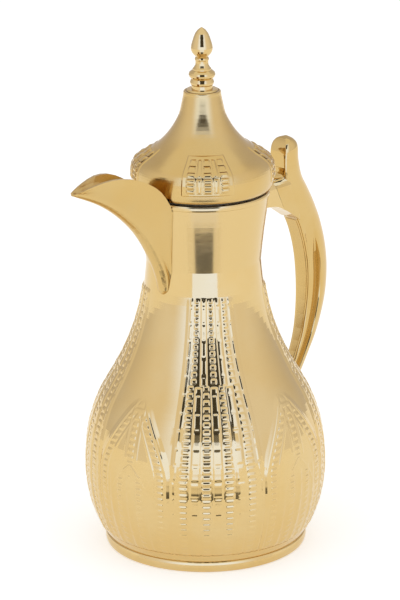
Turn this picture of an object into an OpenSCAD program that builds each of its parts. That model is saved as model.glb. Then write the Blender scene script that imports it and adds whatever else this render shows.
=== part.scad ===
// Dallah coffee pot: vacuum flask kind, with a fixed spout and handle and a lift-off twist-to-pour closure.
// Millimetres, +Z up. The origin is the centre of the foot's resting plane; the spout points to -X and the
// handle to +X.

/* [Body] */
// Height of the seam between body and collar
body_top = 175.3; // [170:0.5:180]
// Largest radius of the belly
belly_r = 70.7; // [68:0.1:73]
// Height of the widest part of the belly
belly_z = 50; // [46:1:54]
// Radius of the body where it stands on the foot ring
body_foot_r = 59.2; // [57:0.1:61]
// Radius of the neck at the seam
neck_r = 33.6; // [33:0.1:34.6]
// Wall of the plated outer mouldings
shell_wall = 2.4; // [2:0.1:2.8]

/* [Foot and base] */
// Height of the polished foot ring
foot_h = 6.5; // [6:0.1:8]
// How far the foot ring swells past the body
foot_swell = 1; // [0.4:0.1:1.6]
// Radius of the screwed bottom cap
cap_r = 46.6; // [42:0.1:48]
// Height of the bottom cap above the resting plane
cap_lift = 2; // [1:0.1:3]
// Thickness of the bottom cap's floor
cap_floor = 2.5; // [2:0.1:3.5]
// Depth of the threaded wall of the bottom cap
cap_depth = 12; // [9:0.5:14]
// Radius of the rubber cushion under the liner
cushion_r = 24; // [18:0.5:30]
// Number of screws that hold the foot ring
base_screw_count = 4; // [3:1:6]

/* [Vacuum liner] */
// Air gap between the outer shell and the glass
liner_gap = 3.6; // [2.6:0.1:4.2]
// Wall of each glass skin
glass_wall = 1.5; // [1.2:0.1:2]
// Vacuum gap between the two glass skins
vacuum_gap = 3; // [2.4:0.1:3.6]
// Height of the glass mouth
liner_top = 163; // [161:0.5:163.5]
// Height of the widest ring of the glass
liner_mid = 56; // [52:1:60]
// Depth of the rounded glass bottom below the widest ring
liner_bowl = 42; // [38:0.5:43]

/* [Collar] */
// Height of the collar's rim
rim_top = 216.4; // [214:0.2:218]
// Radius of the collar just under its rim bead
rim_r = 38.2; // [37.6:0.1:39]
// How far the rim bead stands out
bead_out = 0.9; // [0.4:0.1:1.2]
// Height of the rim bead
bead_h = 3.2; // [2.4:0.1:4]
// Wall of the collar
collar_wall = 2.2; // [1.8:0.1:2.6]
// Depth of the collar's spigot in the neck
spigot_depth = 9.8; // [7:0.2:10.5]
// Bore of the pouring insert
insert_bore = 24.4; // [24:0.1:25]
// Wall of the pouring insert
insert_wall = 2.6; // [2:0.1:3]
// Width of the pouring window
window_w = 14; // [10:0.5:15]
// Share of the height between seam and window top that the wall under the window takes
sill_share = 0.548; // [0.5:0.01:0.7]

/* [Spout] */
// Reach of the spout's tip from the axis
spout_reach = 107; // [100:0.5:112]
// Rise of the spout's tip above the rim
spout_rise = 19.4; // [15:0.2:22]
// Drop of the spout's tail below the seam
spout_tail = 14.8; // [11:0.2:18]
// Largest half width of the spout between its lips
spout_half_w = 12; // [10.5:0.1:13]
// Wall of the spout
spout_wall = 2.2; // [1.6:0.1:2.6]

/* [Handle] */
// Reach of the handle's back from the axis
handle_reach = 108; // [104:0.2:114]
// Largest half width of the handle
handle_half_w = 7.95; // [7:0.05:8.6]
// Height of the thumb knob
knob_top = 234; // [230:0.5:238]
// Height of the handle's lowest point on the body
handle_low = 60.5; // [56:0.5:66]
// Wall of the handle shell
handle_wall = 2.2; // [1.8:0.1:2.6]
// Half width of the bracket that carries the handle
bracket_half_w = 7.6; // [6.8:0.1:8]
// Depth of the bracket's top face below the rim
bracket_drop = 5.4; // [4.4:0.2:8]
// Reach of the joint between bracket and handle, at its top
bracket_reach = 53.5; // [51:0.5:56]
// Height of the bracket where it leaves the collar
bracket_h = 15; // [13:0.5:17]

/* [Closure] */
// Gap between the collar's rim and the lid
lid_gap = 2.1; // [1.5:0.1:3]
// Largest radius of the lid dome
dome_r = 41.3; // [40.6:0.1:42]
// Height of the dome from its edge to its flat top
dome_h = 57.3; // [53:0.1:61]
// Radius of the dome's neck under the finial
dome_top_r = 11.1; // [10.8:0.1:12.4]
// Wall of the lid dome
dome_wall = 2.2; // [1.8:0.1:2.6]
// Height of the finial above the dome
finial_h = 37.2; // [33:0.1:41]
// Largest radius of the finial's acorn
acorn_r = 6.4; // [5.6:0.1:7]
// Radius of the finial's lowest ring
finial_ring_r = 9.2; // [8.4:0.1:9.6]
// Radius of the stopper in the pouring insert
stopper_r = 24; // [23.4:0.1:24]
// Wall of the stopper
stopper_wall = 2.2; // [1.8:0.1:2.4]
// Depth of the stopper's plug below the glass mouth
plug_depth = 11; // [9:0.5:13]
// Radius of the valve rod
valve_rod_r = 3; // [2.4:0.1:3.4]
// Radius of the valve disc
valve_disc_r = 15; // [13:0.2:16]
// How far the valve opens
valve_travel = 4; // [3:0.5:5]

/* [Embossing] */
// How far the embossed ribs stand proud of the body
emboss_h = 0.45; // [0.3:0.05:0.6]
// Height at which the body's pattern starts
emboss_low = 13; // [10:0.5:18]
// Height at which the tall motifs end
tall_top = 157; // [140:1:162]
// Height at which the arched motifs end
arch_top = 96; // [80:1:104]
// Height of a lid panel
panel_h = 19; // [14:0.5:22]
// Height of a lid panel's lower edge above the edge of the lid
panel_rise = 5.6; // [4:0.2:8]
// Half angle that a lid panel takes round the lid
panel_half = 20.5; // [16:0.5:24]

/* [Clearances] */
// Gap between parts that seat on each other
seat_gap = 0.2; // [0.1:0.05:0.3]
// Radial gap of a turning or sliding fit
running_gap = 0.08; // [0.04:0.01:0.1]

/* [Hidden] */

GOLD = [0.86, 0.72, 0.45];
GOLD_BRIGHT = [0.9, 0.76, 0.5];
GLASS = [0.75, 0.82, 0.85];
PLASTIC = [0.9, 0.88, 0.84];
RUBBER = [0.8, 0.8, 0.78];
STEEL = [0.7, 0.7, 0.72];

ROUND = 96;      // segments of a turned part
SMALL_ROUND = 32;
BIG = 400;       // larger than the whole pot

// ---- curves -------------------------------------------------------------------------------------

// Point at share t between b and c of a smooth curve through a, b, c and d.
function spline_point(a, b, c, d, t) =
    0.5 * (2 * b + (c - a) * t + (2 * a - 5 * b + 4 * c - d) * t * t
        + (3 * b - a - 3 * c + d) * t * t * t);

// Smooth curve through all points of a list, with `steps` points to each stretch.
function spline(p, steps) = [
    for (i = [0 : len(p) - 2])
        for (s = [0 : steps - 1])
            spline_point(p[max(i - 1, 0)], p[i], p[i + 1], p[min(i + 2, len(p) - 1)], s / steps),
    p[len(p) - 1]
];

function reversed(p) = [for (i = [len(p) - 1 : -1 : 0]) p[i]];
function lerp(a, b, t) = a + (b - a) * t;

// A [radius, height] curve moved towards the axis by `depth`, measured square to the curve.
function inset(p, depth) = [
    for (i = [0 : len(p) - 1])
        let (a = p[max(i - 1, 0)], b = p[min(i + 1, len(p) - 1)])
        [p[i][0] - depth * norm(b - a) / abs(b[1] - a[1]), p[i][1]]
];

// Part of a [radius, height] curve between two heights, and its radius at one height.
function between(p, low, high) = [for (q = p) if (q[1] > low + 0.01 && q[1] < high - 0.01) q];
function radius_at(p, z) = lookup(z, [for (q = p) [q[1], q[0]]]);
function stretch(p, low, high) = concat(
    [[radius_at(p, low), low]], between(p, low, high), [[radius_at(p, high), high]]);

// ---- outlines of the turned parts ---------------------------------------------------------------

// Shares of height and of radius between foot, belly and neck.
belly_shape = [[0, 0], [0.15, 0.29], [0.4, 0.66], [0.68, 0.9], [1, 1]];
shoulder_shape = [[0.128, 0.03], [0.24, 0.118], [0.351, 0.266], [0.463, 0.483],
    [0.59, 0.694], [0.717, 0.848], [0.845, 0.944], [1, 1]];
body_curve = spline(concat(
    [for (s = belly_shape) [lerp(body_foot_r, belly_r, s[1]), lerp(foot_h, belly_z, s[0])]],
    [for (s = shoulder_shape) [lerp(belly_r, neck_r, s[1]), lerp(belly_z, body_top, s[0])]]), 4);

// The collar flares from the neck to the rim, ends in a rolled bead.
bead_low = rim_top - bead_h;
collar_shape = [[0, 0], [0.23, 0.2], [0.5, 0.47], [0.75, 0.76], [1, 1]];
collar_curve = spline([for (s = collar_shape)
    [lerp(neck_r + 0.2, rim_r, s[1]), lerp(body_top, bead_low, s[0])]], 3);

// Lid dome, from its edge to its flat top, as shares of height and radius.
lid_low = rim_top + lid_gap;
dome_top = lid_low + dome_h;
dome_shape = [[0, 0.955], [0.03, 0.983], [0.074, 0.996], [0.138, 1], [0.212, 0.993], [0.271, 0.968],
    [0.32, 0.9], [0.38, 0.77], [0.463, 0.617], [0.552, 0.5], [0.651, 0.405], [0.76, 0.33],
    [0.877, 0.291], [0.953, 0.27], [0.99, 0.264], [1, 0.252]];
dome_neck_share = 0.953;  // share of the dome's height at which its neck is measured
function dome_scale(t) = lerp(1, dome_top_r / (0.27 * dome_r), min(t / dome_neck_share, 1));
dome_curve = spline([for (s = dome_shape)
    [dome_r * s[1] * dome_scale(s[0]), lid_low + dome_h * s[0]]], 3);

// Glass skins: the shell's own curve above the widest ring, and an ellipse below it.
function glass_curve(depth, bowl, top) = concat(
    [for (a = [-90 : 9 : -9])
        [radius_at(inset(body_curve, depth), liner_mid) * cos(a), liner_mid + bowl * sin(a)]],
    stretch(inset(body_curve, depth), liner_mid, top));
glass_out = shell_wall + liner_gap;
glass_in = glass_out + glass_wall + vacuum_gap;
outer_glass_curve = glass_curve(glass_out, liner_bowl, liner_top);
mouth_r = radius_at(inset(body_curve, glass_in + glass_wall), liner_top);
liner_bottom = liner_mid - liner_bowl;

// ---- heights and radii that several parts share -------------------------------------------------

cap_top = cap_lift + cap_floor;
ring_bore = cap_r + 0.4;
screw_circle = (ring_bore + 2.8 + body_foot_r - shell_wall) / 2;
flange_t = 3;
seal_t = 2.5;
insert_low = liner_top + seal_t;
insert_r = insert_bore + insert_wall;
ledge_z = bead_low - 2.5;
insert_flange = 2.2;
window_top = ledge_z - 2.2;
window_low = lerp(body_top, window_top, sill_share);
window_reach = rim_r + 8;
gasket_t = 3;
shoulder_z = liner_top + seat_gap + gasket_t;
plug_r = mouth_r - 1.3;
plug_low = liner_top - plug_depth;
waist_r = stopper_r - 2;
thread_low = window_top + 0.8;
stopper_top = rim_top - 2.4;
deck_low = shoulder_z + 12;
deck_t = 2;
foam_top = thread_low - 1;
hub_low = foam_top + 2;
plate_t = 2.4;
plate_low = lid_low + 0.3;
lid_screw_circle = 30;
rod_top = stopper_top;
seat_t = 2.4;
bracket_top = rim_top - bracket_drop;
bracket_low = bracket_top - bracket_h;
top_screw_z = bracket_top - bracket_h / 2;
bottom_screw_z = handle_low + 15.5;
screw_bore = 1.6;
spout_screw_z = lerp(body_top, window_low, 0.67);
spout_screw_y = 4;
spout_tip_z = rim_top + spout_rise;
spout_tail_z = body_top - spout_tail;
finial_seat = dome_top - 1.2;
handle_root = radius_at(body_curve, handle_low);
tongue_end = lerp(handle_root, handle_reach, -0.12);
arm_end = tongue_end + 11;    // inside the handle's own section
tongue_start = rim_r + 7;
tongue_half_w = 4.6;
cam_r = 7;

// ---- embossed pattern ---------------------------------------------------------------------------

column = 11.25;            // angle between two columns of the pattern at the foot
lean_z = 60;               // above this height the columns of a tall motif lean together
lean_span = 85;
tall_turn = 49;            // azimuth of the first tall motif; the arched ones stand between them
field_half = 2;            // half width of a tall motif, in columns
field_h = 0.4;             // height of the motifs' fields above the body
tile_half = 1.8;           // half angle of an upright rib
split_z = 112;             // the tall motifs have fewer and wider columns above this height
arch_foot = 60;
arch_half = 21;            // half angle of the arch at its foot
arch_span = 46;            // height in which the arch would close to a point
handle_land = handle_half_w + 1.2;  // half width of the plain strip that the handle stands on
panel_turn = 47;           // azimuth of the first lid panel
panel_low = lid_low + panel_rise;
panel_rows = 6;
panel_pad = 0.35;          // height of the panel's ground above the dome
panel_bar_half = 3.4;
panel_bar_at = 14;         // angle of the outer columns of bars from the panel's middle
panel_tile_half = 2;
panel_gap = 0.5;           // half the groove between two bars

// Angle between columns at a height, as a share of the angle at the foot.
function lean(z) = 1 - 0.147 * sqrt(max(z - lean_z, 0) / lean_span);
function arch_at(z) = arch_half * (1 - pow(max(z - arch_foot, 0) / arch_span, 1.5));

// Level place of a point of the body at an angle from the middle of a motif.
function seen(angle, z) = [radius_at(body_curve, z) * sin(angle), z];

// Upright rib between two heights, `share` columns from the middle of its motif.
module rib(share, half, low, high, steps = 3) {
    heights = [for (i = [0 : steps]) lerp(low, high, i / steps)];
    polygon(concat([for (z = heights) seen((share * column + half) * lean(z), z)],
        [for (z = reversed(heights)) seen((share * column - half) * lean(z), z)]));
}

module tall_field() { rib(0, field_half * column, emboss_low, tall_top, 6); }
module tall_ribs() {
    for (share = [-1, 0, 1]) rib(share, tile_half, emboss_low + 1, split_z - 1);
    for (share = [-2, 2] / 3) rib(share, tile_half, split_z + 1, tall_top - 1, 1);
}

// Field under a pointed arch.
module arched_field(steps = 7) {
    heights = concat(emboss_low, [for (i = [0 : steps]) lerp(arch_foot, arch_top, i / steps)]);
    polygon(concat([for (z = heights) seen(arch_at(z), z)], [for (z = reversed(heights)) seen(-arch_at(z), z)]));
}

// Pattern seen square to the axis, cut out of a thin layer over the body.
module embossed(turn, proud) {
    middle = inset(body_curve, shell_wall / 2);
    coarse = [for (i = [0 : 4 : len(middle) - 1]) middle[i]];
    intersection() {
        turned(concat(stretch(inset(body_curve, -proud), emboss_low, tall_top),
            reversed(stretch(coarse, emboss_low, tall_top))));
        around(4, turn) rotate([90, 0, 90]) linear_extrude(height = belly_r + 2) children();
    }
}

// Sector of a layer over the dome, between two angles from the middle of a panel and two heights.
module panel_sector(from, to, low, high, proud) {
    rotate([0, 0, from]) rotate_extrude(angle = to - from, $fn = ROUND)
        polygon(concat(stretch(inset(dome_curve, -proud), low, high),
            reversed(stretch(inset(dome_curve, dome_wall / 2), low, high))));
}

module lid_panel() {
    row_h = (panel_h - 2) / panel_rows;
    first = panel_low + 1;
    panel_sector(-panel_half, panel_half, panel_low, panel_low + panel_h, panel_pad);
    for (row = [0 : panel_rows - 1], at = [-panel_bar_at, 0, panel_bar_at])
        panel_sector(at - panel_bar_half, at + panel_bar_half, first + row * row_h + panel_gap,
            first + (row + 1) * row_h - panel_gap, panel_pad + emboss_h);
    for (half = [0, 1], at = [-panel_bar_at, panel_bar_at] / 2)
        panel_sector(at - panel_tile_half, at + panel_tile_half, first + half * 3 * row_h + panel_gap,
            first + (half + 1) * 3 * row_h - panel_gap, panel_pad + emboss_h);
}

// ---- helpers ------------------------------------------------------------------------------------

module turned(points) { rotate_extrude($fn = ROUND) polygon(points); }
module ring(r_out, r_in, low, high) {
    rotate_extrude($fn = ROUND) translate([r_in, low]) square([r_out - r_in, high - low]);
}
module along_x(r, from, to, z) {
    translate([from, 0, z]) rotate([0, 90, 0]) cylinder(r = r, h = to - from, $fn = SMALL_ROUND);
}
module around(count, start = 0) { for (i = [0 : count - 1]) rotate([0, 0, start + i * 360 / count]) children(); }

// Skin through a list of closed rings that all have the same number of points.
module skin(rings) {
    n = len(rings[0]);
    m = len(rings);
    polyhedron(
        points = [for (r = rings) for (p = r) p],
        faces = concat(
            [[for (i = [n - 1 : -1 : 0]) i]],
            [for (j = [0 : m - 2]) for (i = [0 : n - 1]) let (k = (i + 1) % n)
                each [[j * n + i, j * n + k, (j + 1) * n + k], [j * n + i, (j + 1) * n + k, (j + 1) * n + i]]],
            [[for (i = [0 : n - 1]) (m - 1) * n + i]]),
        convexity = 6);
}

// ---- pot ----------------------------------------------------------------------------------------

module body_shell() {
    color(GOLD) difference() {
        union() {
            turned(concat(body_curve, reversed(inset(body_curve, shell_wall))));
            embossed(tall_turn, field_h) tall_field();
            embossed(tall_turn, field_h + emboss_h) tall_ribs();
            difference() {
                embossed(tall_turn + 45, field_h) arched_field();
                translate([0, -handle_land, handle_low - 4]) cube([BIG, 2 * handle_land, 44]);
            }
            ring(body_foot_r - 0.6, ring_bore + 0.2, foot_h, foot_h + flange_t);
            ring(ring_bore + 2.8, ring_bore + 0.2, foot_h, cap_lift + cap_depth + 3);
        }
        around(base_screw_count, 45) translate([screw_circle, 0, foot_h - 1])
            cylinder(r = 1.6, h = flange_t + 2, $fn = SMALL_ROUND);
        along_x(2, radius_at(inset(body_curve, shell_wall), bottom_screw_z) - 3, belly_r + 5, bottom_screw_z);
    }
}

module foot_ring() {
    r = body_foot_r;
    color(GOLD_BRIGHT) difference() {
        turned([[ring_bore, 0], [r - 1, 0], [r + 0.2, 0.7], [r + 0.7 * foot_swell, foot_h * 0.25],
            [r + foot_swell, foot_h * 0.5], [r + 0.9 * foot_swell, foot_h * 0.75],
            [r + 0.6 * foot_swell, foot_h * 0.93], [r + 0.2, foot_h], [ring_bore, foot_h]]);
        around(base_screw_count, 45) translate([screw_circle, 0, -1]) {
            cylinder(r = 1.9, h = foot_h + 2, $fn = SMALL_ROUND);
            cylinder(r = 3.6, h = 4, $fn = SMALL_ROUND);
        }
    }
}

module base_screws() {
    color(STEEL) around(base_screw_count, 45) translate([screw_circle, 0, 0]) {
        translate([0, 0, 1]) cylinder(r = 3.2, h = 2, $fn = SMALL_ROUND);
        translate([0, 0, 3]) cylinder(r = 1.6, h = foot_h + flange_t - 3.4, $fn = SMALL_ROUND);
    }
}

module bottom_cap() {
    color(PLASTIC) difference() {
        union() {
            ring(cap_r, 0, cap_lift, cap_top);
            ring(cap_r, cap_r - 2.6, cap_lift, cap_lift + cap_depth);
            ring(cushion_r + 2.4, cushion_r + seat_gap, cap_top, cap_top + 4);
        }
        for (y = [-16, 16]) translate([0, y, cap_lift - 1]) cylinder(r = 4, h = 2.2, $fn = SMALL_ROUND);
    }
}

module base_cushion() {
    color(RUBBER) difference() {
        ring(cushion_r, 0, cap_top, liner_bottom + 4);
        turned(concat([for (p = glass_curve(glass_out - seat_gap, liner_bowl + seat_gap, liner_top)) p],
            [[0, liner_top]]));
        translate([0, 0, cap_top + 1.2]) cylinder(r = 6, h = BIG, $fn = SMALL_ROUND);
    }
}

module liner_outer_glass() {
    inner = glass_curve(glass_out + glass_wall, liner_bowl - glass_wall, liner_top - glass_wall);
    color(GLASS) union() {
        turned(concat(outer_glass_curve, [[mouth_r, liner_top], [mouth_r, liner_top - glass_wall]],
            reversed(inner)));
        translate([0, 0, liner_bottom - 4.5]) cylinder(r1 = 1.4, r2 = 3.4, h = 5.2, $fn = SMALL_ROUND);
    }
}

module liner_inner_glass() {
    bowl = liner_bowl - glass_wall - vacuum_gap;
    top = liner_top - glass_wall;
    outer = glass_curve(glass_in, bowl, top);
    inner = glass_curve(glass_in + glass_wall, bowl - glass_wall, top);
    color(GLASS) turned(concat(outer, reversed(inner)));
}

module liner_spacers() {
    r = radius_at(inset(body_curve, glass_out + glass_wall), liner_mid);
    color(PLASTIC) around(3, 90) along_x(3, r - vacuum_gap + 0.4, r - 0.4, liner_mid);
}

module mouth_seal() {
    color(RUBBER) ring(insert_r + 1, insert_bore + seat_gap, liner_top, insert_low);
}

// Outline of the bracket and of the handle's root, seen from the side. The root's lower edge is given
// as shares of the way from neck to arm end and of the bracket's height.
arm_shape = [[-0.14, 0.03], [0.26, 0], [0.52, 0.09], [0.72, 0.37], [0.885, 0.68], [1, 0.91]];
module arm_side(from, to) {
    root = spline([for (s = arm_shape) [lerp(neck_r, arm_end, s[0]), bracket_low - bracket_h * s[1]]], 4);
    intersection() {
        polygon(concat(root, [[arm_end, bracket_top], [root[0][0], bracket_top]]));
        polygon([[from[0], BIG], [from[1], 0], [to[1], 0], [to[0], BIG]]);
    }
}

// Rounded cross-section of the arm, drawn along X.
module arm_round(half_w, top, low) {
    r = half_w * 0.8;
    rotate([90, 0, 90]) linear_extrude(BIG) union() {
        translate([-half_w, low]) square([2 * half_w, top - low - r]);
        translate([r - half_w, low]) square([2 * (half_w - r), top - low]);
        for (s = [-1, 1]) translate([s * (half_w - r), top - r]) circle(r = r, $fn = SMALL_ROUND);
    }
}
module arm(from, to) {
    intersection() {
        translate([0, BIG / 2, 0]) rotate([90, 0, 0]) linear_extrude(BIG) arm_side(from, to);
        arm_round(bracket_half_w, bracket_top, bracket_top - 3 * bracket_h);
    }
}

// The slanted joint between bracket and handle: where it crosses heights BIG and 0.
joint_slant = 0.48;
function joint_line(shift) = [for (z = [BIG, 0]) bracket_reach + shift + (bracket_top - z) * joint_slant];
module tongue(grow) {
    translate([tongue_start, -tongue_half_w - grow, bracket_low + 3 - grow])
        cube([tongue_end - tongue_start + grow, 2 * (tongue_half_w + grow), bracket_h - 6 + 2 * grow]);
}

// Window through insert and collar that lets the coffee into the spout.
module pouring_window() {
    translate([-window_reach, -window_w / 2, window_low])
        cube([window_reach, window_w, window_top - window_low]);
}

module neck_collar() {
    inner = inset(collar_curve, collar_wall);
    r = rim_r;
    color(GOLD) difference() {
        union() {
            turned(concat(collar_curve,
                [[r + 0.7 * bead_out, bead_low + 0.12 * bead_h], [r + bead_out, bead_low + 0.4 * bead_h],
                    [r + 0.9 * bead_out, bead_low + 0.75 * bead_h], [r + 0.4 * bead_out, rim_top],
                    [r - collar_wall, rim_top]],
                reversed(inner)));
            ring(radius_at(collar_curve, ledge_z) - 1, insert_r + 5.4, ledge_z - 2.2, ledge_z);
            ring(neck_r - shell_wall - seat_gap, neck_r - shell_wall - 2.4, body_top - spigot_depth, body_top);
            ring(neck_r - 1, neck_r - shell_wall - 2.4, body_top, body_top + 2.6);
            difference() {
                union() {
                    arm([0, 0], joint_line(-0.1));
                    intersection() {
                        tongue(0);
                        arm_round(bracket_half_w, bracket_top, bracket_low);
                    }
                }
                turned(concat([[0, body_top]], [for (p = inset(collar_curve, collar_wall / 2)) p],
                    [[0, bead_low]]));
            }
        }
        pouring_window();
        along_x(2.1, insert_bore, tongue_end + 1, top_screw_z);
        for (s = [-1, 1]) translate([0, s * spout_screw_y, 0])
            rotate([0, 0, 180]) along_x(1.3, insert_bore, rim_r, spout_screw_z);
    }
}

module neck_insert() {
    color(PLASTIC) difference() {
        union() {
            ring(insert_r, insert_bore, insert_low, bead_low);
            ring(rim_r - collar_wall - 0.6, insert_bore, ledge_z, ledge_z + insert_flange);
        }
        pouring_window();
    }
}

// ---- spout --------------------------------------------------------------------------------------

// Each row is one section: reach and height of the keel, reach and height of the edge, half width at
// the edge and at the keel, and wall. They are shares of the way from neck to tip, of the way from
// tail to tip, of the spout's half width and of its wall. The first rows lie on body and collar.
spout_shape = [
    [0.03, 0.003, 0.003, 0, 0.1, 0.1, 0.91],
    [0.048, 0.037, -0.005, 0.031, 0.342, 0.325, 0.91],
    [0.064, 0.102, -0.014, 0.106, 0.442, 0.392, 1],
    [0.104, 0.21, -0.016, 0.239, 0.525, 0.408, 1],
    [0.163, 0.32, -0.01, 0.378, 0.65, 0.408, 1],
    [0.237, 0.44, 0, 0.525, 0.783, 0.4, 1],
    [0.327, 0.556, 0.025, 0.644, 0.867, 0.383, 1],
    [0.421, 0.649, 0.076, 0.75, 0.908, 0.358, 1],
    [0.523, 0.734, 0.189, 0.88, 1, 0.333, 1],
    [0.624, 0.805, 0.326, 0.973, 1, 0.308, 1],
    [0.725, 0.865, 0.489, 1.04, 0.867, 0.283, 0.955],
    [0.826, 0.915, 0.659, 1.064, 0.667, 0.25, 0.864],
    [0.918, 0.956, 0.823, 1.046, 0.45, 0.208, 0.727],
    [0.975, 0.981, 0.937, 1.021, 0.283, 0.167, 0.545],
    [1, 0.992, 0.992, 1.008, 0.167, 0.125, 0.364]
];
spout_rows = spline([for (s = spout_shape) [
    lerp(neck_r, spout_reach, s[0]), lerp(spout_tail_z, spout_tip_z, s[1]),
    lerp(neck_r, spout_reach, s[2]), lerp(spout_tail_z, spout_tip_z, s[3]),
    spout_half_w * s[4], spout_half_w * s[5], spout_wall * s[6]]], 2);

// Point of a spout section: v runs from keel to edge, w is the half width there.
function spout_point(row, v, w) =
    let (t = v / norm([row[2] - row[0], row[3] - row[1]]))
    [-lerp(row[0], row[2], t), w, lerp(row[1], row[3], t)];
function mirrored(half) = concat(half, [for (i = [len(half) - 1 : -1 : 0]) if (half[i][1] > 0) half[i] - [0, 2 * half[i][1], 0]]);

function spout_section(row) =
    let (depth = norm([row[2] - row[0], row[3] - row[1]]),
        kv = min(row[5] * 1.1, depth * 0.8), kw = min(row[5], row[4] * 0.97))
    mirrored(concat(
        [for (a = [0 : 15 : 90]) spout_point(row, kv * (1 - cos(a)), kw * sin(a))],
        [for (t = [1 / 3, 2 / 3, 1]) spout_point(row, lerp(kv, depth, t),
            lerp(kw, row[4], t) + row[4] * 0.05 * sin(180 * t))]));
function trough_section(row) =
    let (depth = norm([row[2] - row[0], row[3] - row[1]]),
        wall = row[6],
        kv = min(row[5] * 1.1, depth * 0.8), kw = min(row[5], row[4] * 0.97),
        slope = (row[4] - kw) / (depth - kv), w0 = max(kw - wall, 0.35), floor_v = min(wall, depth * 0.55))
    mirrored(concat(
        [for (a = [0 : 15 : 90]) spout_point(row, floor_v + max(kv - wall, 0.3) * (1 - cos(a)), w0 * sin(a))],
        [for (t = [1 / 3, 2 / 3, 1]) spout_point(row, lerp(max(kv, floor_v + 0.4), depth, t),
            w0 + (depth - kv) * slope * t + row[4] * 0.05 * sin(180 * t))],
        [spout_point(row, depth + 6, w0 + (depth - kv + 6) * slope)]));

first_open = 8;  // first row that the trough is cut in
module spout() {
    last = len(spout_rows) - 1;
    color(GOLD) difference() {
        skin([for (row = spout_rows) spout_section(row)]);
        skin([for (i = [first_open : last]) trough_section(spout_rows[i])]);
        turned(concat([[0, liner_top - 12]], stretch(inset(body_curve, -0.05), liner_top - 12, body_top),
            inset(collar_curve, -0.05),
            [for (z = [bead_low, rim_top + 10]) [rim_r + bead_out + 0.1, z]], [[0, rim_top + 10]]));
        for (s = [-1, 1]) translate([0, s * spout_screw_y, 0])
            rotate([0, 0, 180])
                along_x(1.1, insert_bore, radius_at(collar_curve, spout_screw_z) + 5.4, spout_screw_z);
    }
}

module spout_screws() {
    outside = radius_at(collar_curve, spout_screw_z);
    inside = radius_at(inset(collar_curve, collar_wall), spout_screw_z - 2) - 0.6;
    color(STEEL) for (s = [-1, 1]) translate([0, s * spout_screw_y, 0]) rotate([0, 0, 180]) {
        along_x(1, inside - 0.1, outside + 5, spout_screw_z);
        along_x(2, inside - 1.8, inside, spout_screw_z);
    }
}

// ---- handle -------------------------------------------------------------------------------------

// Each row is one section: reach and height of the inner point, reach and height of the outer point,
// half width of the flat inner face and largest half width. They are shares of the way from the
// body's wall to the handle's back, of the way from its lowest point to the knob, and of its half width.
handle_shape = [
    [0.032, 0.999, 0.08, 1, 0.075, 0.113],
    [-0.053, 0.99, 0.176, 0.988, 0.453, 0.68],
    [-0.117, 0.965, 0.25, 0.965, 0.63, 0.956],
    [-0.136, 0.914, 0.271, 0.914, 0.654, 1],
    [-0.117, 0.853, 0.351, 0.856, 0.654, 1],
    [-0.043, 0.793, 0.495, 0.807, 0.654, 0.98],
    [0.101, 0.729, 0.662, 0.745, 0.64, 0.956],
    [0.266, 0.657, 0.824, 0.669, 0.63, 0.918],
    [0.386, 0.573, 0.952, 0.576, 0.63, 0.893],
    [0.441, 0.484, 1, 0.481, 0.63, 0.855],
    [0.434, 0.389, 0.947, 0.378, 0.553, 0.792],
    [0.359, 0.288, 0.771, 0.271, 0.453, 0.692],
    [0.229, 0.21, 0.551, 0.19, 0.39, 0.616],
    [0.08, 0.153, 0.351, 0.123, 0.377, 0.579],
    [-0.117, 0.095, 0.133, 0.052, 0.428, 0.616],
    [-0.223, 0.063, -0.064, 0, 0.453, 0.654]
];
handle_rows = spline([for (s = handle_shape) [
    lerp(handle_root, handle_reach, s[0]), lerp(handle_low, knob_top, s[1]),
    lerp(handle_root, handle_reach, s[2]), lerp(handle_low, knob_top, s[3]),
    handle_half_w * s[4], handle_half_w * s[5]]], 2);
first_hollow = 13;
last_hollow = 25;

function handle_point(row, v, w) = [lerp(row[0], row[2], v), w, lerp(row[1], row[3], v)];
function handle_section(row) = mirrored(concat(
    [handle_point(row, 1, 0)],
    [for (a = [15 : 15 : 90]) handle_point(row, 0.42 + 0.58 * cos(a), row[5] * sin(a))],
    [for (a = [30 : 30 : 90]) handle_point(row, 0.42 * (1 - sin(a)), row[4] + (row[5] - row[4]) * cos(a))]));
function row_depth(row) = norm([row[2] - row[0], row[3] - row[1]]);
function hollow_section(row) =
    let (t = handle_wall / row_depth(row), lip = row[4] - 1.1)
    mirrored(concat(
        [handle_point(row, 1 - t, 0)],
        [for (a = [30 : 30 : 90]) handle_point(row, 0.42 + (0.58 - t) * cos(a), (row[5] - handle_wall) * sin(a))],
        [handle_point(row, t * 1.4, lip), handle_point(row, -0.2, lip)]));
function cover_section(row) =
    let (t = 2 / row_depth(row), lip = row[4] - 1.1 - seat_gap / 2)
    mirrored([handle_point(row, t, lip), handle_point(row, 0, lip)]);

module handle_shell() {
    color(GOLD) difference() {
        union() {
            skin([for (row = handle_rows) handle_section(row)]);
            arm(joint_line(0.1), [BIG, BIG]);
        }
        skin([for (i = [first_hollow : last_hollow]) hollow_section(handle_rows[i])]);
        tongue(seat_gap);
        along_x(screw_bore, tongue_end - 2, tongue_end + 8, top_screw_z);
        turned(concat([[0, foot_h]], inset(body_curve, -0.05), [[0, body_top]]));
        along_x(screw_bore, belly_r - 6, radius_at(body_curve, bottom_screw_z) + 5, bottom_screw_z);
    }
}

module handle_inner_cover() {
    color(GOLD) skin([for (i = [first_hollow : last_hollow])
        let (row = handle_rows[i]) cover_section(row)]);
}

module handle_top_screw() {
    head_r = 3.6;
    head = radius_at(inset(collar_curve, collar_wall), top_screw_z - head_r) - 0.6;
    color(STEEL) union() {
        along_x(head_r, head - 2.3, head, top_screw_z);
        along_x(screw_bore, head - 0.1, tongue_end + 6, top_screw_z);
    }
}

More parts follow.
